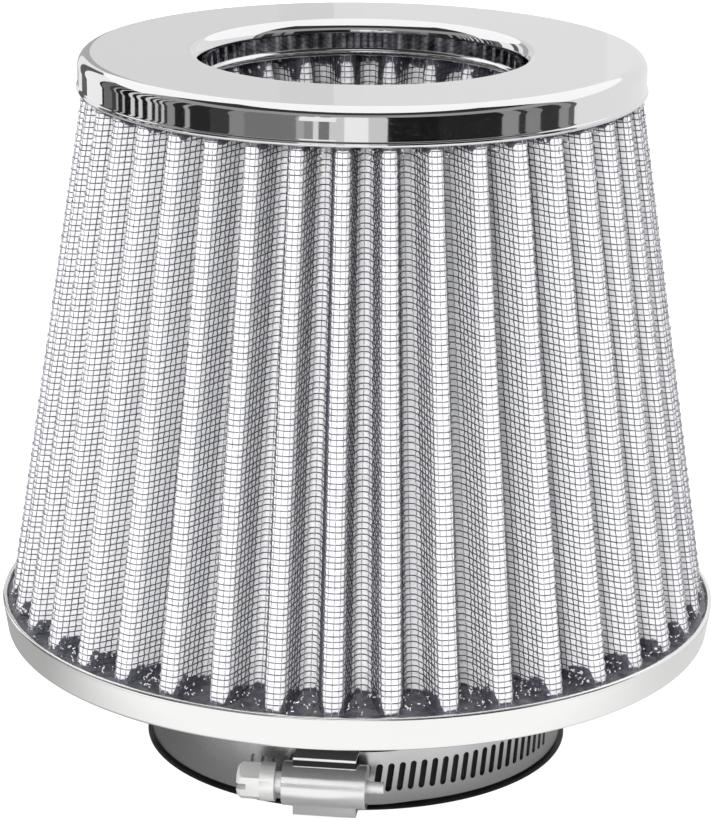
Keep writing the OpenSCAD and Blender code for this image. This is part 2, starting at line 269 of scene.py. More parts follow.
# %% Group: slow change of tone
tone, given, gives = shader_group(
    "slow change of tone", {"Place": None, "Patches per metre": 40.0, "Low": 0.0, "High": 1.0}, ["Value"])
cloud = add(tone, "TexNoise", Vector=given["Place"], Scale=given["Patches per metre"], Detail=3.0)
plug(tone, gives["Value"], ramp(tone, cloud, 0.3, 0.7, given["Low"], given["High"]))

# %% Group: fine scratches
scratches, given, gives = shader_group(
    "fine scratches", {"Place": None, "Scratches per metre": 900.0, "Share": 0.1}, ["Mask"])
lines = []
for lean in (12, 71, 128):
    turned = add(scratches, "Mapping", Vector=given["Place"], Scale=(1, 0.06, 1),
                 Rotation=[math.radians(angle) for angle in (lean, lean / 3, lean)])
    noise = add(scratches, "TexNoise", Vector=turned, Scale=given["Scratches per metre"], Detail=0.0)
    near = calc(scratches, "ABSOLUTE", calc(scratches, "SUBTRACT", noise, 0.5))
    lines.append(calc(scratches, "LESS_THAN", near, calc(scratches, "MULTIPLY", given["Share"], 0.02)))
longest = calc(scratches, "MAXIMUM", calc(scratches, "MAXIMUM", lines[0], lines[1]), lines[2])
plug(scratches, gives["Mask"], longest)

# %% Group: felted fibres
fibres, given, gives = shader_group(
    "felted fibres", {"Place": None, "Fibres per metre": 2500.0}, ["Tone", "Height"])
bent = add(fibres, "TexNoise", Vector=given["Place"], Scale=600.0, Detail=1.0, take=1)
carried = add(fibres, "VectorMath", bent, (0.0012, 0.0012, 0.0012), given["Place"], operation="MULTIPLY_ADD")
felt = add(fibres, "TexNoise", Vector=carried, Scale=given["Fibres per metre"], Detail=2.0)
strand = calc(fibres, "ABSOLUTE", calc(fibres, "SUBTRACT", felt, 0.5))
plug(fibres, gives["Height"], ramp(fibres, strand, 0.0, 0.12, 1.0, 0.0))
plug(fibres, gives["Tone"], add(fibres, "TexNoise", Vector=given["Place"], Scale=180.0, Detail=2.0))

# %% Group: woven screen on a surface's own map
weave, given, gives = shader_group(
    "woven screen", {"Map": None, "Pitch along": 0.0013, "Pitch up": 0.00117, "Wire": 0.00028},
    ["Wire", "Height"])
split = xyz(weave, given["Map"])
wires = []
for place, pitch in ((split[0], given["Pitch along"]), (split[1], given["Pitch up"])):
    off = calc(weave, "MULTIPLY", calc(weave, "ABSOLUTE", calc(weave, "SUBTRACT", calc(
        weave, "FRACT", calc(weave, "DIVIDE", place, pitch)), 0.5)), pitch)
    share = calc(weave, "DIVIDE", off, calc(weave, "MULTIPLY", given["Wire"], 0.5))
    wires.append(calc(weave, "SQRT", calc(weave, "MAXIMUM", calc(
        weave, "SUBTRACT", 1.0, calc(weave, "MULTIPLY", share, share)), 0.0)))
crown = calc(weave, "MAXIMUM", wires[0], wires[1])
plug(weave, gives["Height"], crown)
plug(weave, gives["Wire"], calc(weave, "GREATER_THAN", crown, 0.05))

# %% [markdown]
# ## Finishes
#
# Every finish is one Principled shader whose plain numbers sit on its own sockets. Only what changes
# over the surface is wired: tone, roughness, the height of a bump. Chrome is a mirror that is
# never quite clean, so its roughness drifts and a few hair-fine scratches cross it.

# %% A material's start
def new_material(name, base, metallic, roughness, **plain):
    """A material with one Principled shader, its tree, the shader's inputs and the Object coordinates."""
    material = bpy.data.materials.new(name)
    material.use_nodes = True
    tree = material.node_tree
    shader = tree.nodes["Principled BSDF"].inputs
    shader["Base Color"].default_value = (*base, 1)
    shader["Metallic"].default_value = metallic
    shader["Roughness"].default_value = roughness
    for label, value in plain.items():
        shader[label.replace("_", " ")].default_value = value
    return material, tree, shader, add(tree, "TexCoord", take=3)


def patchy(tree, place, patches, low=0.0, high=1.0):
    """A value that changes slowly over the surface."""
    return use(tree, tone, Place=place, Patches_per_metre=patches, Low=low, High=high)["Value"]


def drift(tree, shader, place, label, low, high, patches):
    """Lets one number of the shader drift slowly between two values."""
    plug(tree, shader[label], patchy(tree, place, patches, low, high))


def bump(tree, shader, height, depth, below=None):
    """Raises the surface by a height map of 0 to 1, depth metres deep, over an earlier bump."""
    made = tree.nodes.new("ShaderNodeBump")
    made.inputs["Distance"].default_value = depth
    plug(tree, made.inputs["Height"], height)
    if below is not None:
        plug(tree, made.inputs["Normal"], below)
    plug(tree, shader["Normal"], made.outputs[0])
    return made.outputs[0]


def scratch(tree, shader, place, share, depth, below):
    """Lays fine scratches, depth metres deep, over an earlier bump."""
    mask = use(tree, scratches, Place=place, Share=share)["Mask"]
    bump(tree, shader, calc(tree, "SUBTRACT", 1.0, mask), depth, below)


# %% Bright metals
HAIR_SCRATCH, HANDLED_SCRATCH = 1.5e-6, 3e-6


def bright_metal(name, base, rough, waves, wave_depth, scratch_share, patches=45.0, metallic=1.0):
    """Polished or plated sheet: a drifting roughness, slow waves in the sheet and hair-fine scratches."""
    material, tree, shader, place = new_material(name, base, metallic, rough[0])
    drift(tree, shader, place, "Roughness", *rough, patches)
    wavy = bump(tree, shader, add(tree, "TexNoise", Vector=place, Scale=waves, Detail=1.0), wave_depth)
    scratch(tree, shader, place, scratch_share, HAIR_SCRATCH, wavy)
    return material, tree, shader, place


ring_polish = bright_metal("polished ring", (0.93, 0.93, 0.92), (0.10, 0.20), 70.0, 5e-5, 0.12)[0]
screw_zinc = bright_metal(
    "zinc plated screw", (0.90, 0.90, 0.89), (0.34, 0.48), 300.0, 1e-4, 0.3, metallic=0.5)[0]

# %% Chrome of the cap, with a painted dark reflection, mottled, on the throat's wall
CHROME = (0.80, 0.80, 0.81)
THROAT_WALL_R, THROAT_WALL_Z = 33 * MM, (141.9 * MM, 144.9 * MM)
cap_chrome, tree, shader, place = bright_metal(
    "mirror chrome", CHROME, (0.03, 0.06), 55.0, 5e-5, 0.008)
level = add(tree, "VectorMath", place, (1, 1, 0), operation="MULTIPLY")
from_axis = add(tree, "VectorMath", level, operation="LENGTH", take=1)
height = xyz(tree, place)[2]
near_wall = ramp(tree, from_axis, THROAT_WALL_R + 0.1 * MM, THROAT_WALL_R + 1.2 * MM, 1.0, 0.0)
above_hem = ramp(tree, height, THROAT_WALL_Z[0] - 0.4 * MM, THROAT_WALL_Z[0], 0.0, 1.0)
below_roll = ramp(tree, height, THROAT_WALL_Z[1], THROAT_WALL_Z[1] + 0.5 * MM, 1.0, 0.0)
painted_dark_throat = calc(tree, "MULTIPLY", calc(tree, "MULTIPLY", near_wall, above_hem), below_roll)
# Painted reflection: on the throat's wall the chrome's colour is darkened and mottled to stand for the dark
# it mirrors there.
painted_throat_tone = blend(tree, patchy(tree, place, 300.0),
                (0.10, 0.10, 0.11), (0.42, 0.42, 0.45))
plug(tree, shader["Base Color"], blend(tree, painted_dark_throat, CHROME, painted_throat_tone))

# %% Housing, with painted shade in the fold above the barrel
FOLD_SHADE_Z = (10.4 * MM, 12.55 * MM)
PRESSED_STEEL = (0.85, 0.85, 0.86)
housing_steel, tree, shader, place = bright_metal(
    "pressed stainless", PRESSED_STEEL, (0.16, 0.28), 120.0, 1.2e-4, 0.3, metallic=0.8)
from_screw = add(tree, "VectorMath", place, tuple(screw_middle), operation="SUBTRACT")
turned_off = add(tree, "VectorMath", from_screw, tuple(screw_axis), operation="CROSS_PRODUCT")
off_axis = add(tree, "VectorMath", turned_off, operation="LENGTH", take=1)
height = xyz(tree, place)[2]
outside = ramp(tree, off_axis, 4.62 * MM, 4.72 * MM)
in_fold_shade = calc(tree, "MULTIPLY", ramp(tree, height, FOLD_SHADE_Z[0], FOLD_SHADE_Z[0] + 0.2 * MM),
               ramp(tree, height, FOLD_SHADE_Z[1], FOLD_SHADE_Z[1] + 0.1 * MM, 1.0, 0.0))
# Painted shade: outside the barrel, the sheet in the fold above it is coloured near black.
plug(tree, shader["Base Color"], blend(
    tree, calc(tree, "MULTIPLY", outside, in_fold_shade), PRESSED_STEEL, (0.02, 0.02, 0.022)))

# %% Rolled strip of the clamp
strip_steel, tree, shader, place = new_material("rolled stainless strip", (0.72, 0.72, 0.73), 1.0, 0.25)
drift(tree, shader, place, "Roughness", 0.20, 0.34, 60.0)
streaks = add(tree, "TexNoise", Detail=3.0, Scale=2600.0, Vector=add(
    tree, "Mapping", Vector=place, Scale=(0.04, 0.04, 1)))
grain = bump(tree, shader, streaks, 6e-6)
scratch(tree, shader, place, 0.3, HANDLED_SCRATCH, grain)

# %% Screen wire, with painted shade on the flanks of the pleats
def wire_finish(name, dark, light, metallic):
    """Drawn wire whose tone jumps from patch to patch of its plating. Its colour is painted dark on the
    flanks, as shade.
    """
    material, tree, shader, place = new_material(name, light, metallic, 0.36)
    drift(tree, shader, place, "Roughness", 0.26, 0.42, 500.0)
    spangle = patchy(tree, place, 900.0)
    share = add(tree, "Attribute", attribute_name="pleat_depth", take=2)
    painted_flank_shade = calc(tree, "MULTIPLY", ramp(tree, share, 0.06, 0.16), ramp(tree, share, 0.80, 0.95, 1.0, 0.0))
    plug(tree, shader["Base Color"], blend(
        tree, painted_flank_shade, blend(tree, spangle, dark, light), (0.085, 0.082, 0.105)))
    return material


# Painted shade: the level wires get darker tones than the upright ones.
level_wire = wire_finish("galvanised weft wire", (0.07, 0.065, 0.09), (0.26, 0.26, 0.31), 0.3)
upright_wire = wire_finish("galvanised warp wire", (0.30, 0.30, 0.34), (0.66, 0.66, 0.70), 0.3)

# %% Rubber of the neck
neck_rubber, tree, shader, place = new_material(
    "moulded rubber", (0.008, 0.008, 0.009), 0.0, 0.42, Specular_IOR_Level=0.25)
drift(tree, shader, place, "Roughness", 0.34, 0.52, 90.0)
dusted = patchy(tree, place, 220.0, high=0.35)
plug(tree, shader["Base Color"], blend(tree, dusted, (0.006, 0.006, 0.007), (0.02, 0.02, 0.022)))
bump(tree, shader, add(tree, "TexNoise", Vector=place, Scale=1800.0, Detail=4.0), 2e-5)

# %% Potting compound
POTTING_TONES = ((0.045, 0.046, 0.056), (0.12, 0.12, 0.14))
potting, tree, shader, place = new_material(
    "cast potting", POTTING_TONES[0], 0.0, 0.3, Coat_Weight=0.25, Coat_Roughness=0.2)
drift(tree, shader, place, "Roughness", 0.22, 0.5, 260.0)
mottle = patchy(tree, place, 420.0)
plug(tree, shader["Base Color"], blend(tree, mottle, *POTTING_TONES))
bubbles = add(tree, "TexVoronoi", Vector=place, Scale=900.0)
pits = bump(tree, shader, ramp(tree, bubbles, 0.0, 0.35), 1.2e-4)
bump(tree, shader, add(tree, "TexNoise", Vector=place, Scale=500.0, Detail=2.0), 2.5e-4, pits)

# %% [markdown]
# ## Pleats
#
# A pleat is folded from flat sheet, so its corners are rounded and its flanks are straight. The CAD
# solid has eight corners a pleat. Taking them as the control points of a quadratic spline rounds each
# corner without leaving the solid: the curve touches every side at its middle. A wall is straight
# from the base to the cap, so a point at any height lies between the two end loops. Moving a point
# along the wall's own normal gives the nested layers: wires, medium, backing.

# %% One pleated wall
FRONT = -math.pi / 2
CREST_DIRECTION = math.radians(5.4)
CREST_FLAT, CREST_SIDE, VALLEY_SIDE, VALLEY_FLAT = 0.14, 0.23, 0.34, 0.42
CREST_ROUND, VALLEY_ROUND = 1.4 * MM, 1.2 * MM
SPLINE_KEPT = [0, 2, 4, 5, 6, 7, 8, 9, 10, 12, 14, 15]


class PleatedWall:
    """Pleats between two heights. facing is 1 where they face out and -1 where they face the axis."""

    def __init__(self, node, count, depth, facing):
        r, z = corners_of(node)
        self.count, self.depth, self.facing = count, depth, facing
        self.z = np.array([z.min(), z.max()])
        edges = [r[abs(z - end) < 1e-5] for end in self.z]
        self.crest = np.array([edge.max() if facing > 0 else edge.min() for edge in edges])
        self.low, self.high = (self.loop(crest) for crest in self.crest)
        self.samples = len(self.low)

    def loop(self, crest):
        """Spline round all pleats: (before + 6 corner + after) / 8 at a corner, the mean between two."""
        share = np.array([-VALLEY_FLAT, -VALLEY_SIDE, -CREST_SIDE, -CREST_FLAT,
                          CREST_FLAT, CREST_SIDE, VALLEY_SIDE, VALLEY_FLAT])
        deep, side = self.depth, self.depth - VALLEY_ROUND
        fall = np.array([deep, side, CREST_ROUND, 0, 0, CREST_ROUND, side, deep])
        a = FRONT + CREST_DIRECTION + 2 * math.pi / self.count * (np.arange(self.count)[:, None] + share)
        r = crest - self.facing * fall
        corner = np.stack([r * np.cos(a), r * np.sin(a)], -1).reshape(-1, 2)
        before, after = np.roll(corner, 1, 0), np.roll(corner, -1, 0)
        curve = np.stack([(before + 6 * corner + after) / 8, (corner + after) / 2], 1)
        return curve.reshape(self.count, 16, 2)[:, SPLINE_KEPT].reshape(-1, 2)

    def at(self, height, behind, place=None):
        """Points and outward normals at a height and a distance behind the facing side.

        height and behind may be arrays that spread over the loop's samples. place picks samples by
        their number and share, such as 3.5 for halfway between the fourth and the fifth.
        """
        low, high = (self.picked(end, place) for end in (self.low, self.high))
        rise = ((np.asarray(height) - self.z[0]) / (self.z[1] - self.z[0]))[..., None]
        flat = low + (high - low) * rise
        normal = self.picked(self.normals(), place)
        normal = normal / np.linalg.norm(normal, axis=-1, keepdims=True)
        flat = flat - self.facing * np.asarray(behind)[..., None] * normal
        z = np.broadcast_to(np.asarray(height, float), flat.shape[:-1])
        return np.concatenate([flat, z[..., None]], -1), normal

    def normals(self):
        """Outward normals of the loop halfway up: the chord past each sample, turned a quarter."""
        middle = (self.low + self.high) / 2
        chord = np.roll(middle, -1, 0) - np.roll(middle, 1, 0)
        return np.stack([chord[:, 1], -chord[:, 0]], -1) / np.linalg.norm(chord, axis=1)[:, None]

    def picked(self, loop, place):
        """A loop's own points, or points between them."""
        if place is None:
            return loop
        first = np.floor(place).astype(int)
        share = (place - first)[..., None]
        return loop[first % len(loop)] * (1 - share) + loop[(first + 1) % len(loop)] * share

    def fall(self):
        """How deep in its pleat each sample lies, from 0 on the crest to 1 in the valley."""
        return abs(np.linalg.norm(self.low, axis=1) - self.crest[0]) / self.depth

    def lengths(self):
        """Length along the loop halfway up, from the first sample to each and to the first again."""
        middle = (self.low + self.high) / 2
        steps = np.linalg.norm(np.roll(middle, -1, 0) - middle, axis=1)
        return np.concatenate([[0], np.cumsum(steps)])


outer = PleatedWall("cone_outer_screen", 40, 10 * MM, 1)
inner = PleatedWall("inner_cone_facing_screen", 24, 8 * MM, -1)
print(f"outer sheet {outer.lengths()[-1]:.2f} m round, inner sheet {inner.lengths()[-1]:.2f} m round")

# %% [markdown]
# ## The filter medium
#
# The medium is a thick white felt. It shows between the wires, so it is a shell with two faces and
# closed ends. At both ends potting has soaked into it: dark patches climb, least on the crests and
# most on the flanks. Those belong to the colour of the felt and not to its shape, so each point keeps
# how deep it lies in its pleat and how far it is from an end, for the material to read.

# %% Felt with soaked ends
SOAK_CREST, SOAK_FLANK, SOAK_VALLEY = 0.9 * MM, 3.4 * MM, 2.0 * MM
felt_white, tree, shader, place = new_material("filter felt", (0.93, 0.93, 0.93), 0.0, 0.9)
hair = use(tree, fibres, Place=place)
clean = blend(tree, hair["Tone"], (0.90, 0.90, 0.92), (0.96, 0.96, 0.96))
from_end = add(tree, "Attribute", attribute_name="from_end", take=2)
deep_share = add(tree, "Attribute", attribute_name="pleat_depth", take=2)
wander = add(tree, "TexNoise", Vector=place, Scale=420.0, Detail=3.0)
climb = calc(tree, "ADD", ramp(tree, deep_share, 0.0, 0.16, SOAK_CREST, SOAK_FLANK),
             ramp(tree, deep_share, 0.3, 0.95, 0.0, SOAK_VALLEY - SOAK_FLANK))
edge = calc(tree, "MULTIPLY_ADD", wander, 3.0 * MM, -1.5 * MM)
above = calc(tree, "SUBTRACT", from_end, calc(tree, "ADD", climb, edge))
soaked = ramp(tree, above, -0.25 * MM, 0.25 * MM, 1.0, 0.0)
speckle = ramp(tree, add(tree, "TexVoronoi", Vector=place, Scale=620.0), 0.14, 0.30, 0.0, 1.0)
stain = calc(tree, "MULTIPLY", soaked, speckle)
plug(tree, shader["Base Color"], blend(tree, stain, clean, (0.10, 0.10, 0.125)))
plug(tree, shader["Roughness"], ramp(tree, stain, 0.0, 1.0, 0.9, 0.4))
bump(tree, shader, hair["Height"], 6e-5)

# %% Closed shells that follow the pleats
FELT_IN, FELT_T = 0.44 * MM, 0.78 * MM
BACKING_IN, BACKING_T = 1.26 * MM, 0.38 * MM


def pleated_shell(name, wall, behind, thickness, rows, material, slot, stands_for, top_soak=1.0):
    """A sheet of even thickness that follows a pleated wall: up its outer face, down its inner one.

    top_soak tells how much higher than the lower end the upper one is soaked.
    """
    up = np.linspace(*wall.z, rows)
    height = np.concatenate([up, up[::-1]])
    outward = behind if wall.facing > 0 else behind + thickness
    inward = behind + thickness if wall.facing > 0 else behind
    depth = np.repeat([outward, inward], rows)
    points = wall.at(height[:, None], depth[:, None])[0]
    along = np.broadcast_to(wall.lengths()[:-1], points.shape[:2])
    above = np.broadcast_to((height - wall.z[0])[:, None], points.shape[:2])
    end = np.minimum(height - wall.z[0], (wall.z[1] - height) / top_soak)
    make_piece(name, points, [grid_faces(*points.shape[:2], wrap_rows=True)], material, slot,
               stands_for=stands_for, sharp=50, uv=np.stack([along, above], -1),
               pleat_depth=np.tile(wall.fall(), 2 * rows), from_end=np.repeat(end, wall.samples))


pleated_shell("cone_felt", outer, FELT_IN, FELT_T, 8, felt_white, "medium", ["cone_media"], 0.5)
pleated_shell("inner_cone_felt", inner, FELT_IN, FELT_T, 6, felt_white, "medium", ["inner_cone_media"], 1.5)

# %% [markdown]
# ## The backing screens
#
# The clean side of each pack is backed by the same screen. It is seen only through the neck, so its
# wires are raised by a bump on the shell's own map: a wire's height is the root of one minus the
# square of the distance from its middle. Between the wires the felt shows white.

# %% Backing screens
backing_screen, tree, shader, place = new_material("backing screen", (0.8, 0.8, 0.8), 0.0, 0.5)
woven = use(tree, weave, Map=add(tree, "TexCoord", take=2))
plug(tree, shader["Base Color"], blend(tree, woven["Wire"], (0.84, 0.84, 0.82), (0.56, 0.57, 0.60)))
plug(tree, shader["Metallic"], calc(tree, "MULTIPLY", woven["Wire"], 0.7))
plug(tree, shader["Roughness"], ramp(tree, woven["Wire"], 0.0, 1.0, 0.9, 0.35))
bump(tree, shader, woven["Height"], 1.4e-4)

pleated_shell("cone_backing_screen", outer, BACKING_IN, BACKING_T, 8, backing_screen, "screen_wire",
              ["cone_inner_screen"])
pleated_shell("inner_cone_backing_screen", inner, BACKING_IN, BACKING_T, 6, backing_screen, "screen_wire",
              ["inner_cone_back_screen"])

# %% [markdown]
# ## The woven wire screen
#
# The screen is what the eye reads first: thin wires over white felt, following every fold. A bump
# map can't give their shadows and their dark lines on the flanks, so each wire is a real tube.
# Three sides are enough for a wire that is little wider than a pixel. The level wires run round the
# cone in closed rings and are painted darker, as painted shade. The upright wires weave over and under
# them, so their distance behind the facing side swings from one ring to the next. On the flanks both
# are painted dark as shade, which draws the dark outline beside each crest.

# %% Tubes along many paths at once
def tubes(paths, across, over, radius, closed):
    """Thin three-sided tubes: path + radius (cos t across + sin t over), for t in thirds of a turn.

    paths, across and over are arrays of wires by points by 3. Open tubes get a lid at each end.
    """
    t = np.arange(3) * 2 * math.pi / 3
    rim = np.cos(t)[:, None] * across[:, :, None] + np.sin(t)[:, None] * over[:, :, None]
    points = paths[:, :, None] + radius * rim
    wires, steps = paths.shape[:2]
    first = (np.arange(wires) * steps * 3)[:, None, None]
    faces = [(first + grid_faces(steps, 3, wrap_rows=closed)).reshape(-1, 4)]
    if not closed:
        lids = np.array([[2, 1, 0], 3 * (steps - 1) + np.array([0, 1, 2])])
        faces.append((first + lids).reshape(-1, 3))
    return points, faces


def with_up(normal):
    """Level normals as space vectors, with the direction straight up beside them."""
    level = np.concatenate([normal, np.zeros((*normal.shape[:-1], 1))], -1)
    return level, np.broadcast_to([0.0, 0.0, 1.0], level.shape)


# %% Wires of a screen
LEVEL_R, UPRIGHT_R = 0.115 * MM, 0.11 * MM
WIRE_IN = 0.30 * MM
CRIMP = 0.15 * MM
ROW_PITCH = 1.17 * MM
ROW_START = 0.6 * MM
rng = np.random.default_rng(40)


def level_wires(wall, heights):
    """Closed rings that follow the pleats at the given heights, each a hair out of level."""
    turn = np.linspace(0, 2 * math.pi, wall.samples, endpoint=False)
    phase = rng.uniform(0, 2 * math.pi, (2, len(heights), 1))
    sway = 0.06 * MM * (np.sin(5 * turn + phase[0]) + np.sin(13 * turn + phase[1]))
    points, normal = wall.at(heights[:, None] + sway, np.full((len(heights), wall.samples), WIRE_IN))
    out, up = with_up(np.broadcast_to(normal, (len(heights), *normal.shape[-2:])))
    return (*tubes(points, up, out, LEVEL_R, closed=True),
            np.tile(np.repeat(0.5 * wall.fall(), 3), len(heights)))


def upright_wires(wall, heights, pleats, each, crimp):
    """Wires from end to end: each of them crosses every height and swings by crimp between rings."""
    length = wall.lengths()
    marks = (np.arange(len(pleats) * each) + 0.5) / each + pleats[0]
    place = np.interp(marks / wall.count * length[-1], length, np.arange(len(length)))
    parity = (-1.0) ** (np.arange(len(marks))[:, None] + np.arange(len(heights))[None, :])
    behind = WIRE_IN + crimp * parity
    points, normal = wall.at(np.broadcast_to(heights, behind.shape), behind, place[:, None] + 0 * behind)
    out, up = with_up(normal)
    drift_phase = rng.uniform(0, 2 * math.pi, (len(marks), 1))
    sway = 0.07 * MM * np.sin(heights / (11 * MM) + drift_phase)
    points = points + sway[..., None] * np.cross(up, out)
    fall = wall.fall()
    share = np.interp(place, np.arange(len(fall) + 1), np.append(fall, fall[0]))
    return (*tubes(points, out, np.cross(up, out), UPRIGHT_R, closed=False),
            np.repeat(share, 3 * len(heights)))


def rows_of(wall):
    """Heights of the level wires of a wall."""
    return np.arange(wall.z[0] + ROW_START, wall.z[1] - 0.1 * MM, ROW_PITCH)


def wire_piece(name, made, wire, stands_for=()):
    """One piece of screen from the points, faces and depth shares of its wires."""
    points, faces, shares = made
    make_piece(name, points, faces, wire, "screen_wire", stands_for=stands_for, pleat_depth=shares)


# %% Outer screen
outer_rows = rows_of(outer)
halves = np.array_split(outer_rows, 2)
wire_piece("cone_level_wires_lower", level_wires(outer, halves[0]), level_wire, ["cone_outer_screen"])
wire_piece("cone_level_wires_upper", level_wires(outer, halves[1]), level_wire)
ends = np.concatenate([[outer.z[0] - 0.3 * MM], outer_rows, [outer.z[1] + 0.05 * MM]])
for third, pleats in enumerate(np.array_split(np.arange(outer.count), 3)):
    made = upright_wires(outer, ends, pleats, 18, CRIMP)
    wire_piece(f"cone_upright_wires_{third + 1}", made, upright_wire)

# %% Screen of the inner cone
made = level_wires(inner, rows_of(inner))
wire_piece("inner_cone_level_wires", made, level_wire, ["inner_cone_facing_screen"])
made = upright_wires(inner, inner.z, np.arange(inner.count), 15, 0.0)
wire_piece("inner_cone_upright_wires", made, upright_wire)

# %% [markdown]
# ## Pressed and moulded rings
#
# The neck, the base ring, the cap and the disc are all round, so each is a section turned about the
# axis. A section is a closed outline of straight sides and arcs. Turning it with numpy gives a ring
# without a seam, and shading its hard edges by angle keeps the flats flat.

# %% Sections and revolution
def bend(centre, radius, start, end, steps=8):
    """Arc in a section, with angles in degrees from outward, anticlockwise."""
    t = np.radians(np.linspace(start, end, steps + 1))
    return np.stack([centre[0] + radius * np.cos(t), centre[1] + radius * np.sin(t)], -1)


def revolve(section, segments=192):
    """A closed section of (r, z) turned about Z: x = r cos a, y = r sin a."""
    section = np.vstack(section)
    r, z = section.T
    if np.sum(r * np.roll(z, -1) - np.roll(r, -1) * z) < 0:
        r, z = r[::-1], z[::-1]
    a = np.linspace(0, 2 * math.pi, segments, endpoint=False)
    points = np.stack(np.broadcast_arrays(
        r[:, None] * np.cos(a), r[:, None] * np.sin(a), z[:, None]), -1)
    return points, [grid_faces(len(r), segments, wrap_rows=True)]


# %% Neck and base
NECK_R = BAND_R - 0.05 * MM
BEAD_R = NECK_R + 1.7 * MM
BEAD_H = 0.6 * MM
LEAD_IN = 1 * MM
NECK_FILLET = 4 * MM
RING_R = LIP_R - 0.9 * MM
RING_FOOT = 8 * MM
RING_SHEET = 0.6 * MM
RING_CORNER = 1.4 * MM
LIP_ROLL = 0.55 * MM
SOFT_EDGE = 0.3 * MM

foot_r = RING_R - RING_FOOT - 0.05 * MM
sheet_in = RING_SHEET + 0.05 * MM
neck_section = [
    bend((BORE_R + LEAD_IN + SOFT_EDGE, NECK_Z + SOFT_EDGE), SOFT_EDGE, 225, 270, 3),
    bend((BEAD_R - BEAD_H / 2, NECK_Z + BEAD_H / 2), BEAD_H / 2, -90, 80),
    bend((NECK_R + SOFT_EDGE / 2, NECK_Z + BEAD_H + SOFT_EDGE / 2), SOFT_EDGE / 2, 270, 180, 3),
    bend((NECK_R + NECK_FILLET, RING_Z - NECK_FILLET), NECK_FILLET, 180, 90, 12),
    [[foot_r, RING_Z], [foot_r, RING_Z + sheet_in]],
    bend((RING_R - RING_CORNER, RING_Z + RING_CORNER), RING_CORNER - sheet_in, -90, 0, 4),
    [[SEATED_R, SEAT_Z - LIP_ROLL], [SEATED_R, SEAT_Z]],
    bend((BORE_R + SOFT_EDGE, SEAT_Z - SOFT_EDGE), SOFT_EDGE, 90, 180, 4),
    [[BORE_R, NECK_Z + LEAD_IN]]]
make_piece("neck_and_base", *revolve(neck_section), neck_rubber, "rubber",
           stands_for=["rubber_base"], sharp=40)

# %% Base ring
lip_centre = (LIP_R - LIP_ROLL, LIP_Z - LIP_ROLL)
ring_corner_centre = (RING_R - RING_CORNER, RING_Z + RING_CORNER)
ring_section = [
    [[RING_R - RING_FOOT, RING_Z]],
    bend(ring_corner_centre, RING_CORNER, -90, 0, 10),
    [[RING_R + 0.03 * MM, RING_Z + RING_CORNER + 0.1 * MM],
     [LIP_R - 0.12 * MM, LIP_Z - 2 * LIP_ROLL - 0.2 * MM]],
    bend(lip_centre, LIP_ROLL, -40, 225, 20),
    [[RING_R + 0.3 * MM - RING_SHEET, RING_Z + 4 * MM]],
    bend(ring_corner_centre, RING_CORNER - RING_SHEET, 0, -90, 6),
    [[RING_R - RING_FOOT, RING_Z + RING_SHEET]]]
make_piece("polished_base_ring", *revolve(ring_section, 256), ring_polish, "ring_steel",
           stands_for=["base_ring"], sharp=40)

# %% Cap
MOUTH_R = 33 * MM
MOUTH_ROLL = 2.8 * MM
THROAT_Z = CAP_Z
THROAT_ROLL = 0.85 * MM
CAP_EDGE = 2.6 * MM
CAP_SHEET = 0.8 * MM
SKIRT_ROLL = 0.65 * MM
FLARE = 0.8 * MM
SKIRT_R = CAP_R - 0.33 * MM
SKIRT_Z = CAP_Z + 1.53 * MM


def cap_side(inset):
    """Section of the cap's sheet from the skirt's foot over the plate to the throat's foot."""
    return [
        bend((SKIRT_R + FLARE, SKIRT_Z), FLARE + inset, 208, 180, 5),
        [[SKIRT_R - inset, SKIRT_Z + 0.1 * MM], [SKIRT_R - inset, TOP_Z - CAP_EDGE - 0.1 * MM]],
        bend((SKIRT_R - CAP_EDGE, TOP_Z - CAP_EDGE), CAP_EDGE - inset, 0, 90, 18),
        [[SKIRT_R - CAP_EDGE - 0.1 * MM, TOP_Z - inset], [MOUTH_R + MOUTH_ROLL + 0.1 * MM, TOP_Z - inset]],
        bend((MOUTH_R + MOUTH_ROLL, TOP_Z - MOUTH_ROLL), MOUTH_ROLL - inset, 90, 180, 18),
        [[MOUTH_R + inset, TOP_Z - MOUTH_ROLL - 0.1 * MM],
         [MOUTH_R + inset, THROAT_Z + 2 * THROAT_ROLL + 0.1 * MM]]]


throat_hem = bend((MOUTH_R + CAP_SHEET / 2, THROAT_Z + THROAT_ROLL), THROAT_ROLL, 130, 410, 24)
skirt_hem = bend((CAP_R - SKIRT_ROLL, CAP_Z + SKIRT_ROLL), SKIRT_ROLL, -230, 50, 24)
cap_section = cap_side(0) + [throat_hem] + [np.vstack(cap_side(CAP_SHEET))[::-1], skirt_hem]
make_piece("chromed_cap", *revolve(cap_section, 256), cap_chrome, "cap_chrome",
           stands_for=["top_cap"], sharp=20)

# %% Disc of the inner cone
_, DISC_R, DISC_Z, DISC_TOP = reach("inner_cone_disc")
RIM_W, RIM_H = 1.5 * MM, 2 * MM
disc_floor = DISC_TOP - RIM_H
disc_section = [
    [[0.02 * MM, DISC_Z]],
    bend((DISC_R - 3 * SOFT_EDGE, DISC_Z + 3 * SOFT_EDGE), 3 * SOFT_EDGE, -90, 0, 6),
    bend((DISC_R - SOFT_EDGE, DISC_TOP - SOFT_EDGE), SOFT_EDGE, 0, 90, 4),
    bend((DISC_R - RIM_W + SOFT_EDGE, DISC_TOP - SOFT_EDGE), SOFT_EDGE, 90, 180, 4),
    [[DISC_R - RIM_W, disc_floor], [0.02 * MM, disc_floor]]]
make_piece("inner_cone_end_disc", *revolve(disc_section, 128), potting, "potting",
           stands_for=["inner_cone_disc"], sharp=40)

# %% [markdown]
# ## Potting between the pleats
#
# The packs are cast into potting at both ends. While it is liquid it wets the felt and climbs, least
# on the crests and most at the bottom of each valley, so it sets as a row of small arches. Here it is
# a closed ring of four sides: a height field from the wall out to the ring, and a flat underside.
# Its height grows with the depth in the pleat and gets a small lip where it touches the wall.

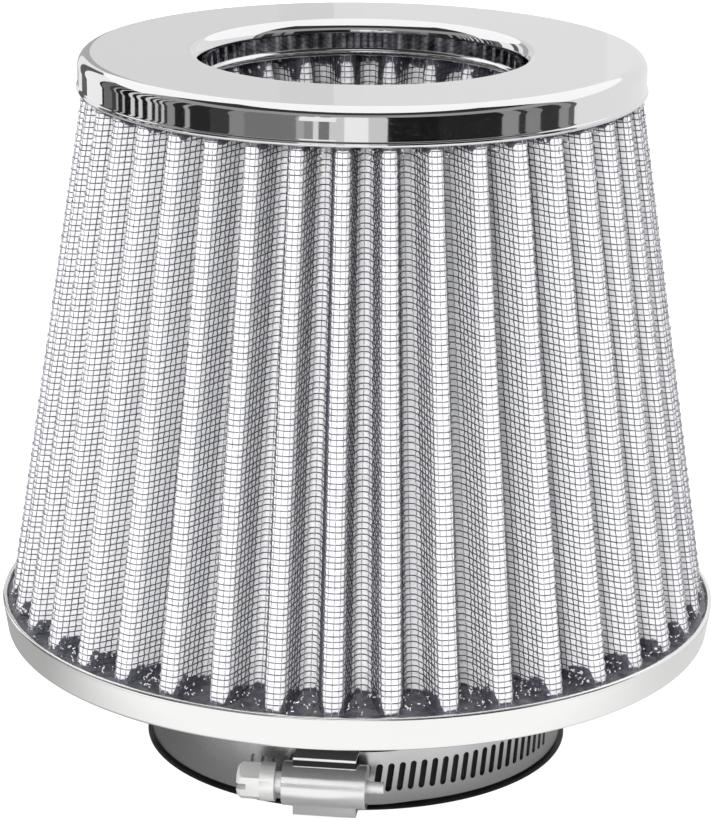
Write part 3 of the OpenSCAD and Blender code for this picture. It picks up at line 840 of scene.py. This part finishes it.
# %% Collars of potting
def lumps(points, size, height):
    """Smooth unevenness: the product of three sines of the place, size metres long and height high."""
    x, y, z = np.moveaxis(points, -1, 0) / size
    first, second = np.sin(6.1 * x + 1.3 * y), np.sin(5.3 * y - 2.1 * x + 1.7)
    return height * first * second * np.sin(4.7 * (x + y) + 0.6 + z)


def potting_collar(name, wall, start, rise, edge_r, sunk):
    """Ring of potting from the wall to edge_r, with its surface at start + rise (depth share)^1.5."""
    across = np.array([0, 0.05, 0.12, 0.22, 0.36, 0.55, 0.78, 1.0])[:, None]
    wall_z = start + rise * (0.12 + 0.88 * wall.fall() ** 1.2)
    foot = wall.at(wall_z, 0.5 * MM)[0]
    foot_r = np.hypot(foot[:, 0], foot[:, 1])
    direction = foot[:, :2] / foot_r[:, None]
    r = foot_r + (edge_r - foot_r) * across
    crest_r = np.interp(start, wall.z, wall.crest)
    share = np.clip((crest_r - r) / wall.depth, 0, 1) * (across < 1)
    meniscus = 0.5 * MM * np.exp(-(r - foot_r) / (0.5 * MM))
    z = start + np.sign(rise) * (abs(rise) * (0.12 * (across < 1) + 0.88 * share ** 1.5) + meniscus)
    top = np.concatenate([r[..., None] * direction, z[..., None]], -1)
    top[..., 2] += lumps(top, 2.2 * MM, 0.22 * MM) * (across < 1)
    low = start - np.sign(rise) * sunk
    under = np.stack([np.full(foot_r.shape, edge_r), foot_r])[..., None] * direction
    under = np.concatenate([under, np.full((*under.shape[:-1], 1), low)], -1)
    points = np.concatenate([top, under])
    if rise > 0:
        points = points[::-1]
    return make_piece(name, points, [grid_faces(*points.shape[:2], wrap_rows=True)], potting, "potting",
                      sharp=60)


potting_collar("base_potting", outer, SEAT_Z + 0.05 * MM, 0.8 * MM, SEATED_R, 0.5 * MM)
potting_collar("cap_potting", outer, POTTING_Z - 0.05 * MM, -1.8 * MM, CAP_R - 1.25 * MM, 0.5 * MM)

# %% [markdown]
# ## Cut wire ends
#
# The screen is cut with shears before it is folded, and the potting pulls some of its cut ends loose.
# They show as bright curls at the foot of the valleys. Each is a short piece of a helix with its own
# radius, turn and lean, all drawn from one seeded generator.

# %% Curls of cut wire
def wire_curls(wall, count, level, spread, steps=6):
    """Short helices: centre + radius (cos t u + sin t v) + pitch t w, for count sets of axes u, v, w."""
    pleat = rng.integers(0, wall.count, count)
    a = FRONT + CREST_DIRECTION + 2 * math.pi / wall.count * (pleat + rng.choice([-1, 1], count)
                                                              * rng.uniform(0.25, 0.5, count))
    crest_r = np.interp(level, wall.z, wall.crest)
    r = crest_r - rng.uniform(0.2, 5.5, count) * MM
    z = level + rng.uniform(0, spread, count)
    centre = np.stack([r * np.cos(a), r * np.sin(a), z], -1)[:, None]
    axes = np.linalg.qr(rng.normal(size=(count, 3, 3)))[0]
    u, v, w = (axes[:, None, k] for k in range(3))
    size = rng.uniform(0.25, 0.6, (count, 1, 1)) * MM
    span = rng.uniform(0.5, 1.7, (count, 1))
    t = (span * np.linspace(0, 1, steps))[..., None]
    path = centre + size * (np.cos(t) * u + np.sin(t) * v) + 0.12 * MM * t * w
    return tubes(path, np.cos(t) * u + np.sin(t) * v, w + 0 * path, 0.13 * MM, closed=False)


loose_ends, tree, shader, place = new_material("bright cut wire", (0.92, 0.92, 0.94), 0.2, 0.3)
drift(tree, shader, place, "Roughness", 0.22, 0.4, 700.0)
for end, count, level, spread in (("base", 620, SEAT_Z + 0.3 * MM, 3.2 * MM),
                                  ("cap", 260, POTTING_Z - 2.4 * MM, 2.2 * MM)):
    made = wire_curls(outer, count, level, spread)
    make_piece(f"cut_wire_ends_at_{end}", *made, loose_ends, "screen_wire")

# %% [markdown]
# ## The clamp's band
#
# The band is stainless strip with slanting slots that the screw's thread runs in. It is wound round
# the neck once and passes over its own inner end. A slot is one small cell that repeats: a ring of
# faces between the slot's round-ended outline and the cell's border. The cells are laid along the
# winding, which turns flat strip into a hoop: x = r sin a, y = -r cos a. Solidify gives the strip its
# thickness and Bevel takes the sharpness off its edges.

# %% Winding of the band
BAND_T = 0.65 * MM
LAYER_R = BAND_R + BAND_T + 0.05 * MM
UNDER_END, TAIL_END, SLOT_END = 4.0, -33.0, 64.8
RAMP = 12.0
SLOT_PITCH, SLOT_W, SLOT_L, SLOT_LEAN = 2.4 * MM, 1.3 * MM, 6.2 * MM, 7.6
slot_step = math.degrees(SLOT_PITCH / (LAYER_R + BAND_T))
slot_count = int((SLOT_END - TAIL_END - slot_step) // slot_step) + 1
band_mid = (BAND_Z + BAND_TOP) / 2
half_w = (BAND_TOP - BAND_Z) / 2


def wound(a, z):
    """Inner face of the band: a is degrees from the front, counted on through the whole turn."""
    climb = np.clip((UNDER_END + 1.5 + RAMP - 360 - a) / RAMP, 0, 1)
    r = BAND_R + (LAYER_R - BAND_R) * climb * climb * (3 - 2 * climb)
    turn = np.radians(a)
    return np.stack([r * np.sin(turn), -r * np.cos(turn), band_mid + z], -1)


def obround(width, length, lean, steps=6):
    """Round-ended slot outline, anticlockwise from its right side, leaning by some degrees."""
    half, lean = (length - width) / 2, math.radians(lean)
    upper = bend((0, half), width / 2, 0, 180, steps)
    lower = bend((0, -half), width / 2, 180, 360, steps)
    x, y = np.vstack([upper, lower]).T
    return np.stack([x * math.cos(lean) + y * math.sin(lean), y * math.cos(lean) - x * math.sin(lean)], -1)


# %% Band with slots
first_slot, last_slot = SLOT_END - 360, SLOT_END - 360 - slot_step * (slot_count - 1)
slot = obround(SLOT_W, SLOT_L, SLOT_LEAN)
across = np.linspace(0.5, -0.5, 7) * SLOT_PITCH
shoulder = SLOT_L / 2 + 0.45 * MM
there_and_back = np.concatenate([across, across[::-1]])
border, rims = (np.stack([there_and_back, np.repeat([w, -w], 7)], -1) for w in (shoulder, half_w))
cell = np.vstack([slot, border, rims])
ring = np.arange(14)
after = (ring + 1) % 14
around_slot = np.stack([ring + 14, after + 14, after, ring], -1)
above_slot = np.stack([ring + 28, after + 28, after + 14, ring + 14], -1)[ring % 7 < 6]
cell_faces = np.vstack([around_slot, above_slot])
places = first_slot - slot_step * np.arange(slot_count)[:, None] + cell[:, 0] / SLOT_PITCH * slot_step
slotted = wound(places, np.broadcast_to(cell[:, 1], places.shape))
slotted_faces = (np.arange(slot_count)[:, None, None] * len(cell) + cell_faces).reshape(-1, 4)

levels = np.array([half_w, shoulder, -shoulder, -half_w])
plain = []
for start, end in ((UNDER_END, first_slot + slot_step / 2), (last_slot - slot_step / 2, TAIL_END - 360)):
    turns = np.linspace(start, end, max(2, int(abs(end - start) / 2.5)))
    plain.append(wound(turns[:, None] + 0 * levels, levels + 0 * turns[:, None]))

points, faces, first = [slotted.reshape(-1, 3)], [slotted_faces], slotted.size // 3
for stretch in plain:
    points.append(stretch.reshape(-1, 3))
    faces.append(first + grid_faces(len(stretch), len(levels), wrap_columns=False))
    first += stretch.size // 3
band = make_piece("slotted_band", np.vstack(points), [np.vstack(faces)], strip_steel, "clamp_steel",
                  stands_for=["clamp_band"])

# %% [markdown]
# The cells and stretches share their borders, so their points are merged before the strip gets its
# thickness. Normals are made to agree first, because Solidify grows the wall along them.

# %% Thickness and edges
@contextmanager
def reworked(piece):
    """Opens a piece's mesh and writes it back when the work is done."""
    work = bmesh.new()
    work.from_mesh(piece.data)
    yield work
    work.to_mesh(piece.data)
    work.free()


def merged(piece, distance=2e-6):
    """Joins a piece's doubled points and turns its faces the same way."""
    with reworked(piece) as work:
        bmesh.ops.remove_doubles(work, verts=work.verts, dist=distance)
        bmesh.ops.recalc_face_normals(work, faces=work.faces)


def facing_out(piece):
    """Flips an open hoop whose faces look at the axis."""
    with reworked(piece) as work:
        inward = sum(f.normal.xy.dot(f.calc_center_median().xy) for f in work.faces) < 0
        if inward:
            bmesh.ops.reverse_faces(work, faces=work.faces)
    return inward


def soften(piece, width, segments=2, angle=35):
    """Rounds a piece's hard edges with Bevel."""
    edge = piece.modifiers.new("softened edges", "BEVEL")
    edge.width = width
    edge.segments = segments
    edge.limit_method = "ANGLE"
    edge.angle_limit = math.radians(angle)
    edge.harden_normals = True
    edge.use_clamp_overlap = True


merged(band)
print("band was turned inside out:", facing_out(band))
wall = band.modifiers.new("strip thickness", "SOLIDIFY")
wall.thickness = BAND_T
wall.offset = 1
wall.use_even_offset = True
soften(band, 0.1 * MM)

# %% [markdown]
# ## Housing and screw
#
# The housing is pressed from sheet and the screw is turned, and the CAD solids already have their
# forms. What they lack is the soft edge of every real part, which is what catches the light. A copy
# of each is merged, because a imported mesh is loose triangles, and bevelled. On the screw's copy the
# threaded stretch is turned down to its core, and a helical ridge of the band's own pitch is laid on.

# %% Copies of CAD nodes
def copy_of(node, name, material, body):
    """A merged copy of a CAD node, which the copy then stands for."""
    piece = placed(name, frame["nodes"][node].data.copy())
    merged(piece, 5e-6)
    with reworked(piece) as work:
        bmesh.ops.dissolve_limit(work, angle_limit=math.radians(0.5), verts=work.verts, edges=work.edges)
    piece.data.polygons.foreach_set("use_smooth", np.ones(len(piece.data.polygons), bool))
    piece.data.set_sharp_from_angle(angle=math.radians(30))
    return finish_piece(piece, material, body, [node])


housing = copy_of("clamp_housing", "screw_housing", housing_steel, "filter")
soften(housing, 0.16 * MM)

# %% Screw
THREAD_R, CORE_R = 3.5 * MM, 2.95 * MM
THREAD_HALF = 7.5 * MM
screw = copy_of("clamp_screw", "hexagon_screw", screw_zinc, "screw")
spots = vertices_of(screw.data) - screw_middle
along = spots @ screw_axis
radial = spots - along[:, None] * screw_axis
distance = np.linalg.norm(radial, axis=1)
thread_zone = (abs(along) < THREAD_HALF + 0.2 * MM) & (distance > CORE_R)
radial[thread_zone] *= (CORE_R / distance[thread_zone])[:, None]
screw.data.vertices.foreach_set(
    "co", (screw_middle + along[:, None] * screw_axis + radial).astype(np.float32).ravel())
screw.data.update()
soften(screw, 0.18 * MM)

# %% Thread
side = np.cross(screw_axis, [0, 0, 1.0])
side /= np.linalg.norm(side)
rise = np.cross(screw_axis, side)
turns = 2 * (THREAD_HALF - 0.6 * MM) / SLOT_PITCH
t = np.linspace(-turns * math.pi, turns * math.pi, 150)
outward = np.cos(t)[:, None] * side + np.sin(t)[:, None] * rise
middle = screw_middle + (SLOT_PITCH * t / (2 * math.pi))[:, None] * screw_axis
taper = np.clip((1 - abs(t) / t.max()) * 12, 0.05, 1)[:, None, None]
crest_h = THREAD_R - 0.06 * MM - CORE_R
rooted, root_w, crest_w = -0.1 * MM, 0.55 * MM, 0.2 * MM
section = np.array([[rooted, root_w], [crest_h, crest_w], [crest_h, -crest_w], [rooted, -root_w]])
height = CORE_R + section[:, 0] * np.where(section[:, 0] > 0, taper[..., 0], 1)
ridge = middle[:, None] + height[..., None] * outward[:, None] + section[:, 1][:, None] * screw_axis
ends = np.array([[3, 2, 1, 0], 4 * (len(t) - 1) + np.arange(4)])
thread = make_piece("screw_thread", ridge, [grid_faces(len(t), 4), ends], screw_zinc, "screw_steel",
                    body="screw", sharp=40)
merged(thread)

# %% [markdown]
# ## Finish of the CAD node that stays
#
# The potting inside the cap keeps its CAD solid, which nothing outside sees in full, and gets the
# same compound as the collars.

# %% Material of the CAD node
kept = frame["nodes"]["top_potting"].data.materials
kept.clear()
kept.append(potting)

# %% [markdown]
# ## Floor, cards and light
#
# Chrome has no colour of its own: it shows what stands round it. The photograph was taken in a white
# room with dark and bright strips in front of the filter, which appear as upright streaks in the
# skirt. A curved screen of such strips stands in front, seen only by mirror rays. The floor and the
# world are white to the camera and give plain soft light to the filter. To mirrors the floor is darker
# behind the filter, carries a painted shadow under it and a painted bright patch in front of the clamp,
# which the clamp mirrors as a painted highlight. Softboxes all round light the felt evenly, the
# strongest from in front.

# %% Glowing stage materials
def white_to_mirrors(tree, seen, lit):
    """Chooses the seen shader for camera, mirror and glass rays, and the lit one for the rest."""
    rays = tree.nodes.new("ShaderNodeLightPath").outputs
    either = calc(tree, "MAXIMUM", calc(tree, "MAXIMUM", rays["Is Camera Ray"], rays["Is Glossy Ray"]),
                  rays["Is Transmission Ray"])
    return add(tree, "MixShader", either, lit, seen)


def stage_object(name, points, faces, material):
    """A mesh that isn't part of the filter."""
    mesh = bpy.data.meshes.new(name)
    mesh.from_pydata([tuple(p) for p in np.asarray(points).reshape(-1, 3)], [], [tuple(f) for f in faces])
    mesh.materials.append(material)
    made = placed(name, mesh)
    return made


floor_white = bpy.data.materials.new("white floor")
floor_white.use_nodes = True
tree = floor_white.node_tree
FLOOR = 3.0
PAINTED_SHADOW_R, PAINTED_SHADOW_TONE = (0.060, 0.086), 0.34
BRIGHT_PATCH_AT, BRIGHT_PATCH_R = (-0.012, -0.068, 0), (0.008, 0.018)
SEEN_FLOOR = 0.92
matte = add(tree, "BsdfDiffuse", Color=(0.80, 0.80, 0.80, 1))
spot = add(tree, "TexCoord", take=3)
part = xyz(tree, spot)
from_filter = add(tree, "VectorMath", spot, operation="LENGTH", take=1)
beside = ramp(tree, part[1], -0.085, 0.0)
side_tone = ramp(tree, part[0], -0.05, 0.05, -0.58, -0.28)
open_floor = calc(tree, "MULTIPLY_ADD", beside, side_tone, 1.0)
reach_out = calc(tree, "ADD", from_filter, ramp(tree, part[0], -0.04, 0.006, 0.0, 0.012))
# Painted shadow: to mirrors the floor is darkened under and close to the filter.
under = ramp(tree, reach_out, *PAINTED_SHADOW_R, PAINTED_SHADOW_TONE, 1.0)
# Painted highlight: a bright patch on the floor in front of the clamp, for its metal to mirror.
from_bright_patch = add(tree, "VectorMath", spot, BRIGHT_PATCH_AT, operation="DISTANCE", take=1)
patch = ramp(tree, from_bright_patch, *BRIGHT_PATCH_R, 1.0, 0.0)
mirrored = calc(tree, "MAXIMUM", calc(tree, "MULTIPLY", open_floor, under), patch)
is_camera = tree.nodes.new("ShaderNodeLightPath").outputs["Is Camera Ray"]
strength = calc(tree, "MULTIPLY_ADD", is_camera, calc(tree, "SUBTRACT", SEEN_FLOOR, mirrored), mirrored)
glow = add(tree, "Emission", Color=(1, 1, 1, 1), Strength=strength)
seen = add(tree, "AddShader", glow, add(tree, "BsdfDiffuse", Color=blend(
    tree, is_camera, (0, 0, 0), (0.25, 0.25, 0.26))))
plug(tree, tree.nodes["Material Output"].inputs["Surface"], white_to_mirrors(tree, seen, matte))
stage_object("floor", [[-FLOOR, -FLOOR, 0], [FLOOR, -FLOOR, 0], [FLOOR, FLOOR, 0], [-FLOOR, FLOOR, 0]],
             [[0, 1, 2, 3]], floor_white)

# %% World
WORLD_LIGHT = 0.50
WORLD_SEEN = 1.0
MIRRORED = 1.15
world = bpy.data.worlds.new("white room")
bpy.context.scene.world = world
world.use_nodes = True
tree = world.node_tree
rays = tree.nodes.new("ShaderNodeLightPath").outputs
strength = calc(tree, "MULTIPLY_ADD", rays["Is Camera Ray"], WORLD_SEEN - WORLD_LIGHT, WORLD_LIGHT)
strength = calc(tree, "MULTIPLY_ADD", rays["Is Glossy Ray"], MIRRORED - WORLD_LIGHT, strength)
plug(tree, tree.nodes["Background"].inputs["Strength"], strength)
tree.nodes["Background"].inputs["Color"].default_value = (1, 1, 1, 1)

# %% Strips in front and one card for the clamp, seen only by mirrors
CARD_R = 0.5
CARD_STEP, UPPER_TO = 6, 100
CARD_TOP, GREY_TOP, CARD_END = 0.37, 0.60, 1.15
STRIPS = [
    (-178.8, 0.82), (-176.6, 0.73), (-168, 0.76), (-157, 0.45), (-148, 0.9), (-139, 0.12), (-121.5, 1.0),
    (-119.8, 0.02), (-113, 0.16), (-109.7, 0.06), (-108.2, 0.4), (-105.1, 0.02), (-103.6, 0.5),
    (-99.5, 0.01), (-97, 0.75), (-94.5, 0.01), (-92.3, 0.75), (-89.3, 0.01), (-87, 0.7), (-85.1, 0.015),
    (-83.6, 0.6), (-81.8, 0.015), (-80.3, 0.62), (-78.7, 0.03), (-74.9, 0.3), (-70, 0.02), (-67.8, 0.4),
    (-58.5, 0.025), (-50.4, 0.05), (-44.3, 0.27), (-24.2, 0.2), (-21.1, 0.42), (-17.8, 0.3), (-15.8, 0.8),
    (-11.9, 0.2), (-6.4, 0.7), (2.5, 1.0), (9.4, 0.68), (28.3, 0.012), (53.5, 0.02), (60.6, 0.3),
    (63.7, 0.04), (70.7, 0.26), (79.9, 0.04), (84.9, 0.3), (88, 0.12), (170, 0.88), (180, 0.83)]
GREY_BAND = 0.35
DARK_LINE = 0.04
CLAMP_CARD, CLAMP_CARD_R = ((-22, -9), (0.10, 0.24)), 0.3


def card(r, a, b, low, high):
    """Four corners between two angles and two heights: point (r sin a, -r cos a, z)."""
    return [[r * math.sin(t), -r * math.cos(t), z] for t, z in ((a, low), (a, high), (b, high), (b, low))]


def card_screen():
    """Curved screen of one face for each strip and height, and the small card for the clamp.

    STRIPS holds where each strip ends, in degrees from the front, and its glow. The two upper
    bands run no farther round than UPPER_TO.
    """
    heights = [0.0, CARD_TOP, GREY_TOP, CARD_END]
    corners, glows = [], []
    for start, (end, strip) in zip([-180] + [end for end, _ in STRIPS], STRIPS):
        parts = np.radians(np.linspace(start, end, max(2, int((end - start) / CARD_STEP) + 1)))
        for a, b in zip(parts, parts[1:]):
            for low, high, level in zip(heights, heights[1:], (strip, GREY_BAND, DARK_LINE)):
                if low == 0 or abs(start + end) / 2 <= UPPER_TO:
                    corners.append(card(CARD_R, a, b, low, high))
                    glows.append(level)
    corners.append(card(CLAMP_CARD_R, *np.radians(CLAMP_CARD[0]), *CLAMP_CARD[1]))
    glows.append(1.0)
    return np.array(corners), glows


card_glow = bpy.data.materials.new("strips and cards")
card_glow.use_nodes = True
tree = card_glow.node_tree
tree.nodes.remove(tree.nodes["Principled BSDF"])
plug(tree, tree.nodes["Material Output"].inputs["Surface"], add(
    tree, "Emission", Color=(1, 1, 1, 1), Strength=add(tree, "Attribute", attribute_name="glow", take=2)))
corners, glows = card_screen()
cards = stage_object("mirror_cards", corners, np.arange(4 * len(glows)).reshape(-1, 4), card_glow)
cards.data.attributes.new("glow", "FLOAT", "FACE").data.foreach_set("value", np.array(glows, np.float32))
for kind in ("camera", "diffuse", "shadow", "transmission"):
    setattr(cards, f"visible_{kind}", False)

# %% Lamps
def soft_lamp(name, place, target, size, power):
    """A square area lamp that points at a target."""
    data = bpy.data.lights.new(name, "AREA")
    data.energy = power
    data.size = size
    lamp = placed(name, data)
    away = np.array(place) - np.array(target)
    lamp.location = place
    lamp.rotation_euler = (math.atan2(math.hypot(away[0], away[1]), away[2]), 0,
                           math.atan2(away[1], away[0]) + math.pi / 2)
    lamp.visible_glossy = False


for name, place, size, power in (
        ("front softbox", (-0.16, -0.95, 0.42), 0.35, 7.0), ("top softbox", (0.04, -0.22, 0.80), 0.35, 2.0),
        ("left softbox", (-0.90, 0.10, 0.45), 0.5, 5.5), ("right softbox", (0.90, 0.10, 0.45), 0.5, 5.0),
        ("back softbox", (0.10, 0.95, 0.42), 0.5, 6.5)):
    soft_lamp(name, place, (0, 0, 0.08), size, power)
bpy.context.scene.view_settings.view_transform = "Standard"
